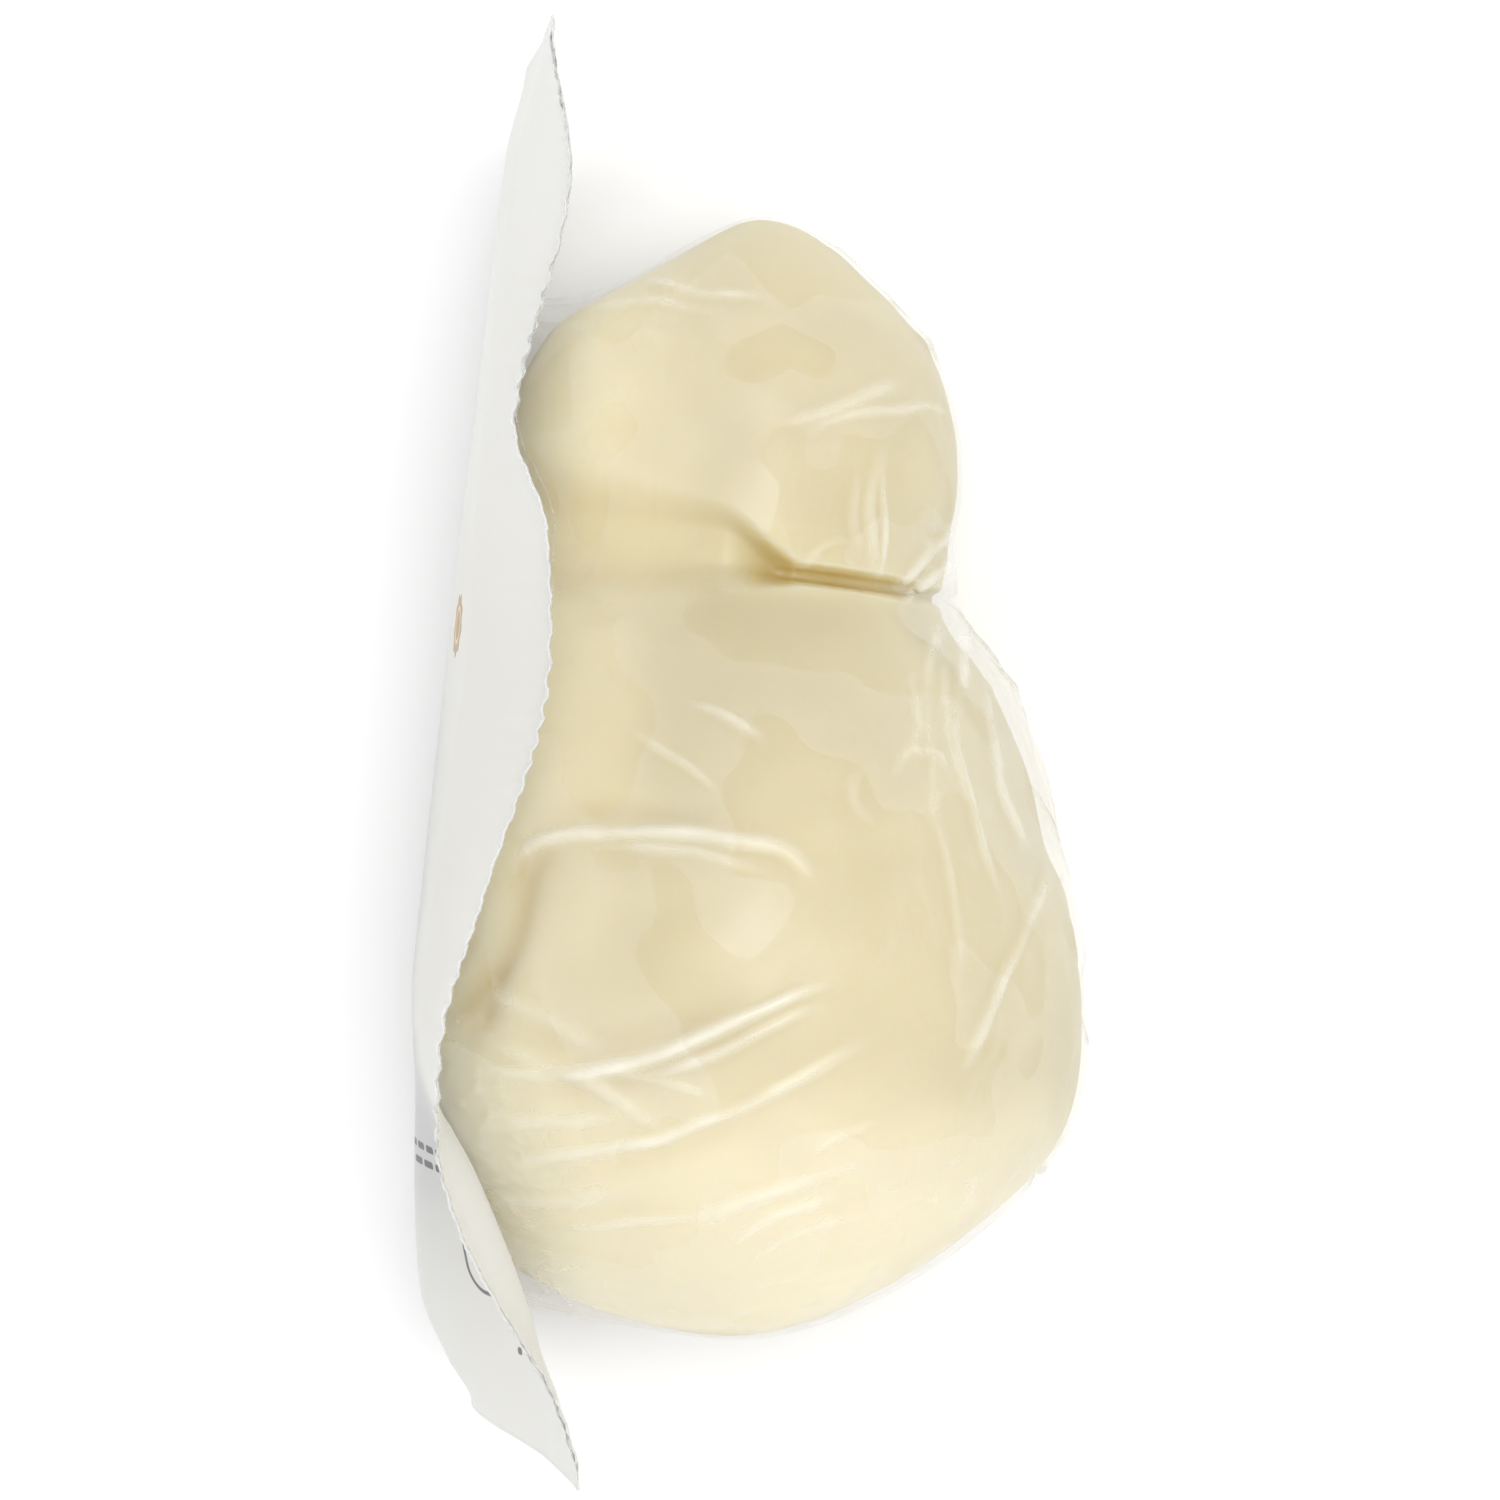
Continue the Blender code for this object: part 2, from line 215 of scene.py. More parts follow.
# Dents and creases of the cheese itself on the side that shows: (stops of the path, half width, depth), in
# mm, and how much painted shade deepens their colour.
CHEESE_DENTS = (
    (((-22.5, -9.5), (-26.0, -13.0), (-27.0, -20.0), (-29.5, -28.0), (-29.5, -33.0)), 2.0, 1.6, 0.55),
    (((-32.5, -30.5), (-30.5, -26.0), (-27.0, -22.0)), 1.0, 0.8, 0.40),
    (((-27.0, -36.5), (-13.5, -33.5), (1.0, -26.0)), 1.4, 0.6, 0.06),
    (((-24.0, -46.0), (-8.0, -40.5), (1.5, -35.0)), 1.4, 0.4, 0.05),
    (((-25.0, -6.5), (-16.0, -5.0), (-6.0, -5.0)), 1.5, 0.5, 0.10),
    (((-27.0, -30.0), (-14.0, -28.5), (-3.0, -24.0)), 1.6, 0.3, 0.06),
)
# The deeper colour beside a fold is painted shade.
MOAT_PAINTED_SHADE = 0.10  # how much deeper the cheese's colour is beside a fold

# Where the film is finely crinkled: (x, y, z) of the middle in mm, reach in mm.
CRINKLES = (
    ((14.5, 27.0, 44.0), 6.0), ((18.5, 20.5, 42.0), 5.0), ((-26.0, -38.0, 66.0), 6.0),
    ((-22.0, -47.0, 62.0), 6.5), ((-17.0, -56.0, 52.0), 7.0), ((-30.0, -30.0, 66.0), 5.0),
    ((14.5, 2.5, 68.0), 4.0), ((-30.0, 46.0, 40.0), 6.0), ((-32.0, -55.0, 35.0), 9.0),
    ((-30.0, 20.0, 14.0), 9.0), ((10.0, 22.0, 14.0), 9.0), ((22.0, 12.0, 40.0), 8.0),
    ((27.0, 2.0, 40.0), 7.0), ((-20.0, 46.0, 52.0), 6.0),
)
# Noises over the film: size, seed and, where they are drawn out along an axis, the scale along each axis.
FINE_CREASES = (0.0045, 1.0)
BROAD_CREASES = (0.0130, 2.0, (1.0, 0.45, 1.0))
STREAKS = (0.0065, 23.0, (1.0, 0.30, 1.0))
PLEATS = (0.0075, 31.0, (0.16, 1.0, 1.0))
SEAL_CREASES = (0.006, 4.0)
FINE_HEIGHT, BROAD_HEIGHT, PLEAT_HEIGHT = 0.65, 0.12, 1.3  # mm
PLEAT_REACH = 0.022  # the pleats die away this far from the sheet
# How much each thing whitens the film. The level of its noise above which it does comes first.
FINE_FROM, FINE_HAZE = 0.20, 0.60
BROAD_FROM, BROAD_HAZE = 0.45, 0.12
STREAK_FROM, STREAK_HAZE, STREAK_HAZE_OFF_SHEET = 0.25, 0.14, 0.30
PLEAT_FROM, PLEAT_HAZE = 0.15, 0.45
SEAL_FROM, SEAL_HAZE, SEAL_BASE_HAZE = 0.30, 0.25, 0.10
CUT_EDGE_HAZE, CUT_EDGE_WIDTH = 0.55, 0.0004
FOLD_HAZE = 1.10
# The rim's whitening is a painted highlight along the edges of the standing-off patches.
STANDING_OFF_HAZE, RIM_PAINTED_HIGHLIGHT = 0.15, 0.07
BODY_END_HAZE = 0.16
WEB_HAZE = 0.22
CORNER_HAZE = 0.25
# Next to the sheet the film's whitening is partly real haze and partly painted light that lifts the sheet's
# shade.
AT_SHEET_HAZE_AND_LIGHT, AT_SHEET_REACH = 0.30, 0.0070
CREASE_CLEARNESS = 0.40  # how much less whitish the film is in the neck's crease

# ---------------------------------------------------------------- the print, as (y, distance below the edge)
ROSETTE_AT = (0.0119, 0.0245)
ROSETTE_RADIUS, PETALS, PETAL_DEPTH = 0.0032, 9.0, 0.00025
RING_RADIUS, RING_HALF_LINE = 0.0018, 0.00025
LOOP = (-0.0545, 0.0270, 0.0032, 0.0032, 0.0026)  # middle, half sizes and the corners' radius
LOOP_HALF_LINE = 0.00022
BAR_HALF_Y, BAR_ROUNDING = 0.00038, 0.0003
# Bars, as (y of the middle, distance of the middle below the edge, half length down the sheet).
BARS = (
    (-0.0442, 0.0318, 0.0009), (-0.0442, 0.0346, 0.0012), (-0.0442, 0.0380, 0.0014),
    (-0.0442, 0.0420, 0.0018), (-0.0459, 0.0322, 0.0013), (-0.0459, 0.0356, 0.0014),
    (-0.0459, 0.0394, 0.0017), (-0.0623, 0.0213, 0.0005),
)
INK_BLUR = 0.00006

# ---------------------------------------------------------------- the studio's sizes
FLOOR_HALF_SIZE = 3.0
FLOOR_DROP = 0.0001
WORLD_STRENGTH = 0.58
LIGHTS_AIM = (0, 0, 0.04)
# Soft boxes: (name, place, diameter, power).
LIGHTS = (
    ("soft_box_above", (0.10, 0.06, 1.10), 0.5, 5.8),
    ("soft_box_right", (0.60, -0.15, 0.70), 0.7, 0.6),
    ("soft_box_left", (-0.65, 0.05, 0.40), 0.6, 0.8),
    ("soft_box_foot", (0.10, -0.80, 0.70), 0.7, 1.5),
    ("soft_box_head", (0.10, 0.80, 0.60), 0.7, 1.3),
)
CAMERA_PLACE = (-0.00356, 0.00244, 0.450)
CAMERA_ROLL = 6.6  # degrees
CAMERA_LENS = 88.05


# ---------------------------------------------------------------- shapes, as in the part but on whole arrays
def curve(knots, values, at):
    """Smooth curve through values at the knots that never overshoots, level beyond the first and last."""
    steps = [(values[i + 1] - values[i]) / (knots[i + 1] - knots[i]) for i in range(len(knots) - 1)]
    slopes = [0.0]
    for before, after in zip(steps[:-1], steps[1:]):
        both = before * after > 0
        slopes.append(np.where(both, 2 * before * after / np.where(both, before + after, 1.0), 0.0))
    slopes.append(0.0)
    result = np.where(at < knots[0], values[0], values[-1])
    for i in range(len(knots) - 1):
        span = knots[i + 1] - knots[i]
        t = np.clip((at - knots[i]) / span, 0, 1)
        value = (2 * t**3 - 3 * t**2 + 1) * values[i] + (t**3 - 2 * t**2 + t) * span * slopes[i]
        value = value + (3 * t**2 - 2 * t**3) * values[i + 1] + (t**3 - t**2) * span * slopes[i + 1]
        result = np.where((at >= knots[i]) & (at <= knots[i + 1]), value, result)
    return result


def through(points, at):
    """Value at a distance along a smooth curve through (distance, value) pairs."""
    knots, values = zip(*points)
    return curve(knots, values, at)


def smoothstep(low, high, value):
    t = np.clip((value - low) / (high - low), 0, 1)
    return t * t * (3 - 2 * t)


def mix(a, b, share):
    return a + (b - a) * share


def tuck(y):
    """The angle the sheet's lower margin curves through by the floor, and how far it then runs along it."""
    curved = smoothstep(*CURVE_FROM, y) * (1 - smoothstep(*CURVE_TO, y))
    flat = smoothstep(*RUN_FROM, y) * (1 - smoothstep(*RUN_TO, y))
    return math.pi / 2 * curved, TUCK_RUN * flat


def sheet_lean(y, z):
    """How far the sheet at this height leans from its plane towards the cheese."""
    leans = [through(table, y) for table in (BELLY_LEAN, ROOT_LEAN, EDGE_LEAN)]
    return curve((BELLY_Z, ROOT_Z, EDGE_Z), leans, z)


def sheet_x(y, z):
    """X of the sheet's middle surface at a height, with the curve of its tuck."""
    drop = np.clip(np.sin(tuck(y)[0]) - z / TUCK_RADIUS, 0, 1)
    return SHEET_X + sheet_lean(y, z) + TUCK_RADIUS * (1 - np.sqrt(1 - drop**2))


def crease(y, turn, depth, valley_depth):
    """The neck: a sharp crease on the side off the sheet, which opens into a valley towards the sheet."""
    across = np.cos(turn)
    opening = np.clip((CREASE_ENDS_ACROSS - across) / (1 + CREASE_ENDS_ACROSS), 0, 1)
    upper_edge = CREASE_Y + VALLEY_UPPER_RISE * smoothstep(0.0, VALLEY_RISEN, opening)
    lower_edge = CREASE_Y - VALLEY_LOWER_DROP * opening
    floor_from = mix(lower_edge, upper_edge, VALLEY_FLOOR_SHARE)
    body_side = smoothstep(lower_edge - CREASE_BODY_WIDTH, floor_from, y)
    head_width = mix(CREASE_HEAD_WIDTH, VALLEY_HEAD_WIDTH, opening)
    head_side = 1 - smoothstep(upper_edge, upper_edge + head_width, y)
    deep = depth * (1 - CREASE_FADE * smoothstep(*CREASE_FADE_ACROSS, across))
    depth_here = mix(deep, valley_depth, smoothstep(0.0, VALLEY_SETTLED, opening))
    return (body_side * head_side) ** CREASE_SHARPNESS * depth_here


def gourd(rings, segments, side_at_sheet, web, crease_depths):
    """Rings of points along the gourd's skin, which lies web(y, turn) inside the film's side."""
    share = np.linspace(-1, 1, rings)[:, None]
    pole_to_pole = 0.5 * share + 0.5 * np.sin(share * math.pi / 2)
    even = np.linspace(0, 2 * math.pi, segments, endpoint=False)[None, :]
    turn = even + RING_CROWDING * np.cos(even)
    y = mix(AXIS_X[0][0], AXIS_X[-1][0], (1 + pole_to_pole) / 2) + 0 * turn
    roundness = np.maximum(np.sqrt(np.maximum(0, 1 - pole_to_pole**2)), 1e-5)
    across, up = np.cos(turn), np.sin(turn)
    side = np.where(across > 0, through(SIDE_OFF_SHEET, y), through(side_at_sheet, y)) * roundness
    height = np.where(up > 0, through(UPPER_SIDE, y), through(LOWER_SIDE, y)) * roundness
    filled = np.abs(across / side) ** SECTION_POWER + np.abs(up / height) ** SECTION_POWER
    inside = (crease(y, turn, *crease_depths) + web(y, turn)) * np.minimum(1, roundness * POLE_FADE)
    reach = np.maximum(filled ** (-1 / SECTION_POWER) - inside, 0)
    return np.stack((through(AXIS_X, y) + across * reach, y, through(AXIS_Z, y) + up * reach), axis=-1)


def flared(points):
    """The film's skin pushed outwards along the sheet, the more the closer it is to the sheet."""
    x, y, z = np.moveaxis(points, -1, 0)
    gap = np.maximum(0, x - sheet_x(y, z))
    out_y, out_z = (y - FLARE_CENTRE_Y) * FLARE_ALONG, z - through(AXIS_Z, y)
    length = np.maximum(1e-6, np.hypot(out_y, out_z))
    push = FLARE_REACH * smoothstep(*FLARE_FROM, y) * np.exp(-gap / FLARE_DEPTH) / length
    return np.stack((x, y + out_y * push, z + out_z * push), axis=-1)


def seated(points, off_sheet, off_floor):
    """The points kept above the floor, above the tucked margin and on the cheese's side of the sheet."""
    x, y, z = np.moveaxis(points, -1, 0)
    angle, run = tuck(y)
    over_tuck = SHEET_X + TUCK_RADIUS * (1 - np.cos(angle)) + run + TUCK_CLEARANCE
    z = np.maximum(z, np.where(x < over_tuck, SHEET_THICKNESS + off_sheet, off_floor))
    x = np.maximum(x, sheet_x(y, z) + SHEET_THICKNESS / 2 + off_sheet)
    return np.stack((x, y, z), axis=-1)


def normals_of(points, closed):
    """Unit normals of a grid of points, whose second direction may close on itself. A gourd's point out."""
    padded = np.concatenate((points[:, -1:], points, points[:, :1]), axis=1) if closed else points
    along, round_it = np.gradient(padded, axis=0), np.gradient(padded, axis=1)
    cross = np.cross(along, round_it)
    cross /= np.maximum(np.linalg.norm(cross, axis=-1, keepdims=True), 1e-12)
    return cross[:, 1:-1] if closed else cross


# ---------------------------------------------------------------- folds, dents and crinkles
def smooth_path(points, steps=6):
    """A path through the points as a Catmull-Rom spline."""
    p = np.array(points, dtype=float)
    p = np.concatenate((2 * p[:1] - p[1:2], p, 2 * p[-1:] - p[-2:-1]))
    out = []
    for i in range(1, len(p) - 2):
        for t in np.linspace(0, 1, steps, endpoint=False):
            a, b, c, d = p[i - 1:i + 3]
            bend = (2 * a - 5 * b + 4 * c - d) * t**2 + (3 * b - a - 3 * c + d) * t**3
            out.append(0.5 * (2 * b + (c - a) * t + bend))
    return np.array(out + [p[-2]])


def fold_profile(x, y, path, half_width):
    """1 on the path, falling to 0 across half_width and towards the path's ends. All in mm."""
    line = smooth_path(path)
    margin = 4
    low, high = line.min(axis=0) - margin, line.max(axis=0) + margin
    box = (x > low[0]) & (x < high[0]) & (y > low[1]) & (y < high[1])
    px, py = x[box], y[box]
    nearest = np.full(px.shape, 1e9)
    place = np.zeros(px.shape)
    for i, (a, b) in enumerate(zip(line[:-1], line[1:])):
        d = b - a
        t = np.clip(((px - a[0]) * d[0] + (py - a[1]) * d[1]) / max(1e-9, d @ d), 0, 1)
        off = np.hypot(px - a[0] - t * d[0], py - a[1] - t * d[1])
        closer = off < nearest
        nearest[closer] = off[closer]
        place[closer] = (i + t[closer]) / (len(line) - 1)
    out = np.zeros(x.shape)
    ends = np.clip(np.sin(math.pi * np.clip(place, 0.01, 0.99)) * FOLD_TAPER, 0, 1)
    out[box] = np.exp(-(nearest / half_width) ** 2) * ends
    return out


def crinkle(points, size, seed, scale=(1.0, 1.0, 1.0)):
    """Creased noise, 0 to about 1, at each point."""
    flat = (points * np.array(scale)).reshape(-1, 3) / size
    offset = Vector((seed * 7.3, seed * 3.1, seed * 5.7))
    values = [noise.ridged_multi_fractal(Vector(p) + offset, 0.9, 2.2, 3, 0.9, 1.6) for p in flat]
    return (np.array(values).reshape(points.shape[:-1]) - 0.6) / 1.4


def waves(points, size, seed):
    """Smooth noise, -1 to 1, at each point."""
    flat = points.reshape(-1, 3) / size
    offset = Vector((seed * 4.1, seed * 9.2, seed * 2.6))
    return np.array([noise.noise(Vector(p) + offset) for p in flat]).reshape(points.shape[:-1])


def above(values, level):
    """How far values are above a level, from 0 to 1."""
    return np.clip(values - level, 0, 1)


def crinkled_share(points):
    """How finely crinkled the film is at each point, from 0 to 1."""
    share = np.zeros(points.shape[:-1])
    for middle, reach in CRINKLES:
        away = np.linalg.norm(points * 1000 - np.array(middle), axis=-1)
        share = np.maximum(share, np.exp(-(away / reach) ** 2))
    return share


# ---------------------------------------------------------------- meshes
def mesh_object(name, points, faces, extra):
    """A mesh object from points, faces and {attribute name: values}."""
    mesh = bpy.data.meshes.new(name)
    mesh.from_pydata(points.reshape(-1, 3).tolist(), [], faces)
    mesh.shade_smooth()
    for key, values in extra.items():
        mesh.attributes.new(key, "FLOAT", "POINT").data.foreach_set("value", np.ravel(values).astype("f"))
    made = bpy.data.objects.new(name, mesh)
    bpy.context.scene.collection.objects.link(made)
    return made


def grid_faces(rows, columns, closed=False, start=0):
    last = columns if closed else columns - 1
    return [
        (start + r * columns + c, start + r * columns + (c + 1) % columns,
         start + (r + 1) * columns + (c + 1) % columns, start + (r + 1) * columns + c)
        for r in range(rows - 1) for c in range(last)
    ]


def closed_tube(name, points, extra):
    """A closed skin from rings of points, whose first and last rings shrink to single points."""
    rows, columns = points.shape[:2]
    poles = np.array((points[0].mean(axis=0), points[-1].mean(axis=0)))
    body = points[1:-1].reshape(-1, 3)
    faces = grid_faces(rows - 2, columns, closed=True, start=1)
    top = len(body) + 1
    faces += [(0, 1 + (c + 1) % columns, 1 + c) for c in range(columns)]
    faces += [(top, top - columns + c, top - columns + (c + 1) % columns) for c in range(columns)]
    everything = np.concatenate((poles[:1], body, poles[1:]))
    values = {k: np.concatenate((v[0, :1], v[1:-1].ravel(), v[-1, :1])) for k, v in extra.items()}
    return mesh_object(name, everything - CENTRE, faces, values)


# ---------------------------------------------------------------- the film, the cheese and the sheet
def no_web(y, turn):
    return 0 * y


def cheese_web(y, turn):
    """How far the film bridges off the cheese, on the side away from the sheet."""
    return through(WEB_OFF_SHEET, y) * smoothstep(*WEB_ACROSS, np.cos(turn))


def shown_share(points):
    """1 on the side that faces up, 0 on the other."""
    return smoothstep(0.10, 0.35, (points[..., 2] - through(AXIS_Z, points[..., 1])) / 0.03)


def turn_at(points):
    """The direction from the gourd's axis to each point: 0 is +X and a quarter turn is +Z."""
    x, y, z = np.moveaxis(points, -1, 0)
    return np.arctan2(z - through(AXIS_Z, y), x - through(AXIS_X, y))


def other_folds():
    """Folds like those that the photo shows, as (path, half width, height, haze) with paths of (arc, y)."""
    draw = random.Random(OTHER_SEED)
    folds = []
    for _ in range(OTHER_FOLDS):
        arc, y = draw.uniform(*OTHER_TURNS) * ARC_RADIUS, draw.uniform(*OTHER_ENDS_Y)
        reach, lean, bend = draw.uniform(4, 13), draw.uniform(-0.6, 0.6), draw.uniform(-2.0, 2.0)
        path = ((arc - reach, y - lean * reach), (arc, y + bend), (arc + reach, y + lean * reach))
        folds.append((path, draw.uniform(0.35, 0.60), draw.uniform(0.30, 0.65), draw.uniform(0.20, 0.50)))
    return folds


def folds_at(points):
    """The height of the film's folds, in mm, and how hazy they make it."""
    sway = [SWAY * waves(points, SWAY_SIZE, seed) for seed in (11.0, 12.0)]
    uneven = 1 + UNEVENNESS * waves(points, UNEVEN_SIZE, 13.0)
    x, y = (points[..., 0] - CENTRE[0]) * 1000, (points[..., 1] - CENTRE[1]) * 1000
    arc = turn_at(points) * ARC_RADIUS
    shown = shown_share(points)
    total_height, total_haze = np.zeros(shown.shape), np.zeros(shown.shape)
    for folds, across, share in ((FILM_FOLDS, x, shown), (other_folds(), arc, 1 - shown)):
        height, haze = np.zeros(shown.shape), np.zeros(shown.shape)
        place = (across + sway[0], y + sway[1])
        for path, half_width, tall, cloud in folds:
            ridge = fold_profile(*place, path, half_width * RIDGE_WIDTH) * uneven
            moat = fold_profile(*place, path, half_width * MOAT_WIDTH)
            height += tall * (RIDGE_HEIGHT * ridge - MOAT_DEPTH * moat)
            haze = np.maximum(haze, FOLD_HAZE * ridge * cloud)
        total_height += height * share
        total_haze += haze * share
    return total_height, total_haze


def standing_off_haze(points):
    """Haze where the film stands just off the cheese, in patches with crisp edges that carry a painted
    highlight.
    """
    field = waves(points, 0.0150, 21.0) + 0.5 * waves(points, 0.0065, 22.0)
    off = smoothstep(-0.035, 0.020, field)
    # A painted highlight along the patches' edges.
    rim = np.exp(-((field + 0.01) / 0.025) ** 2)
    return STANDING_OFF_HAZE * off + RIM_PAINTED_HIGHLIGHT * rim


def crease_share(points):
    """1 in the neck's crease, falling to 0 around it."""
    return np.clip(crease(points[..., 1], turn_at(points), 1.0, 0.30), 0, 1) ** 1.3


def lumps_at(points):
    """Broad unevenness of the cheese, in mm."""
    return 0.35 * waves(points, 0.016, 3.0) + 0.20 * waves(points, 0.007, 6.0)


def calm(points):
    """0 on the floor and on the sheet, where nothing stands out, rising to 1 off them."""
    off_sheet = points[..., 0] - sheet_x(points[..., 1], points[..., 2])
    return smoothstep(0.0002, 0.0020, points[..., 2]) * smoothstep(0.0004, 0.0020, off_sheet)


def raised(points, height):
    """The points moved outwards by a height in mm."""
    return points + normals_of(points, True) * (height / 1000)[..., None]


def make_film():
    """The clear film, with how whitish it is at each point, including painted light by the sheet and painted
    highlights on patch rims.
    """
    rings, segments = ((440, 420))
    base = gourd(rings, segments, FILM_AT_SHEET, no_web, FILM_CREASE)
    points = seated(flared(base), FILM_OFF_SHEET, 0.0)
    x, y, z = np.moveaxis(points, -1, 0)
    off_sheet = x - sheet_x(y, z)
    folds, haze = folds_at(points)

    fine = crinkled_share(points - CENTRE)
    creased = crinkle(points, *FINE_CREASES)
    broad = crinkle(points, *BROAD_CREASES)
    own_relief = (1 - FOLD_IMPRINT) * folds + FINE_HEIGHT * fine * creased + BROAD_HEIGHT * broad
    height = lumps_at(points) + FOLD_IMPRINT * folds + np.maximum(own_relief, LOWEST_RELIEF)
    haze += FINE_HAZE * fine * above(creased, FINE_FROM) + BROAD_HAZE * above(broad, BROAD_FROM)

    streaks = above(crinkle(points, *STREAKS), STREAK_FROM)
    streak_haze = STREAK_HAZE + STREAK_HAZE_OFF_SHEET * smoothstep(0.010, 0.022, x)
    haze += standing_off_haze(points) + streak_haze * streaks

    pleats = above(crinkle(points, *PLEATS), PLEAT_FROM)
    pleats *= (1 - shown_share(points)) * np.exp(-np.maximum(0, off_sheet) / PLEAT_REACH)
    height += PLEAT_HEIGHT * pleats
    haze += PLEAT_HAZE * pleats

    web = through(WEB_OFF_SHEET, y) * smoothstep(0.3, 0.9, (x + 0.002) / 0.035)
    corner = np.clip((np.linalg.norm(points - base, axis=-1) - 0.001) / 0.006, 0, 1)
    # Whiter film next to the sheet: partly haze where it bridges, and partly painted light lifting the
    # sheet's shade.
    at_sheet_haze_and_light = np.exp(-off_sheet / AT_SHEET_REACH) * smoothstep(0.030, -0.020, y)
    haze += BODY_END_HAZE * smoothstep(-0.018, -0.050, y) - CREASE_CLEARNESS * crease_share(points)
    haze += WEB_HAZE * np.clip(web / 0.003, 0, 1) + CORNER_HAZE * corner + AT_SHEET_HAZE_AND_LIGHT * at_sheet_haze_and_light

    points = seated(raised(points, height * calm(points)), FILM_OFF_SHEET, 0.0)
    return closed_tube("film", points, {"haze": np.clip(haze, -0.3, 1)})


def make_cheese():
    """The cheese, with its painted shade and its painted light at each point."""
    rings, segments = ((340, 330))
    points = gourd(rings, segments, CHEESE_AT_SHEET, cheese_web, CHEESE_CREASE)
    local = (points - CENTRE) * 1000
    folds = folds_at(points)[0]
    height = lumps_at(points) + FOLD_IMPRINT * folds
    # Painted shade: a deeper colour in the neck's crease, in the dips beside folds and in the dents.
    painted_shade = crease_share(points) + MOAT_PAINTED_SHADE * np.clip(-folds, 0, 0.5)
    for path, half_width, deep, dent_shade in CHEESE_DENTS:
        dent = fold_profile(local[..., 0], local[..., 1], path, half_width) * shown_share(points)
        height -= dent * deep
        painted_shade = painted_shade + dent_shade * dent
    points = raised(points, height * calm(points) - FILM_GAP * 1000)
    points = seated(points, CHEESE_OFF_SHEET, CHEESE_OFF_FLOOR)
    # Painted light: a paler colour next to the sheet and towards the body's end, on the side that faces up,
    # to lift the shade there.
    painted_light = smoothstep(-0.004, -0.026, points[..., 0]) + 0.8 * smoothstep(-0.026, -0.046, points[..., 1])
    painted_light = np.clip(painted_light, 0, 1) * shown_share(points)
    return closed_tube("cheese", points, {"painted_shade": np.clip(painted_shade, 0, 1), "painted_light": painted_light})


def sheet_grid(rows, columns, extra_edge=0.0):
    """The sheet's middle surface as rows from its upper edge down, and each point's distance from it."""
    along = np.linspace(0, 1, columns)[None, :]
    angle, run = tuck(mix(*SHEET_ENDS_Y, along))
    edge_z = SHEET_EDGE_Z + extra_edge
    standing = edge_z - TUCK_RADIUS * np.sin(angle)
    arc = TUCK_RADIUS * angle
    width = standing + arc + run
    share = np.linspace(0, 1, rows)[:, None] ** 1.25  # closer together at the upper edge
    down = share * width
    trims = []
    for from_edge, radius in ((down, UPPER_CORNER_RADIUS), (width - down, LOWER_CORNER_RADIUS)):
        short = np.maximum(0, radius - from_edge)
        trims.append(radius - np.sqrt(np.maximum(0, radius**2 - short**2)))
    trim = np.maximum(*trims) - extra_edge
    y = mix(SHEET_ENDS_Y[0] + trim, SHEET_ENDS_Y[1] - trim, along)
    turned = np.minimum(angle, np.maximum(0, down - standing) / TUCK_RADIUS)
    on_floor = np.maximum(0, down - standing - arc)
    z = np.maximum(0, edge_z - np.minimum(down, standing) - TUCK_RADIUS * np.sin(turned))
    x = SHEET_X + sheet_lean(y, z) + TUCK_RADIUS * (1 - np.cos(turned)) + on_floor
    x = x + RIPPLE_HEIGHT * ripple(y) * np.exp(-down / RIPPLE_DEPTH)
    points = np.stack((x, y, z + SHEET_THICKNESS / 2), axis=-1)
    lumps = waves(points, SHEET_LUMP_SIZE, 8.0) * SHEET_LUMP_HEIGHT
    points[..., 0] += lumps * smoothstep(0.004, 0.012, z) * smoothstep(0.004, 0.020, down)
    return points, down


def ripple(y):
    """The small waves that cutting and sealing leave along the upper edge."""
    bend = np.sin(2 * math.pi * y / RIPPLE_PITCH + 1.7 * np.sin(y * 310))
    return bend * (0.65 + 0.35 * np.sin(y * 173 + 1.0)) + 0.35 * np.sin(2 * math.pi * y / TOOTH_PITCH)


def make_sheet():
    """The sheet as a thin closed solid. Its outer face is the one away from the cheese."""
    rows, columns = ((90, 340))
    points, down = sheet_grid(rows, columns)
    half = normals_of(points, False) * SHEET_THICKNESS / 2
    if half[rows // 2, columns // 2, 0] > 0:
        half = -half
    outer, inner = points + half, points - half
    outer[..., 2] = np.maximum(outer[..., 2], 0)
    inner[..., 2] = np.maximum(inner[..., 2], 0)
    count = rows * columns
    faces = [tuple(reversed(f)) for f in grid_faces(rows, columns)] + grid_faces(rows, columns, start=count)
    rim = [r * columns for r in range(rows)] + [(rows - 1) * columns + c for c in range(1, columns)]
    rim += [r * columns + columns - 1 for r in range(rows - 2, -1, -1)] + list(range(columns - 2, 0, -1))
    faces += [(a, b, b + count, a + count) for a, b in zip(rim, rim[1:] + rim[:1])]
    both = np.concatenate((outer.reshape(-1, 3), inner.reshape(-1, 3)))
    face_side = np.concatenate((np.ones(count), np.zeros(count)))
    below_edge = np.concatenate((down.ravel(), down.ravel()))
    return mesh_object("sheet", both - CENTRE, faces, {"outer": face_side, "down": below_edge})


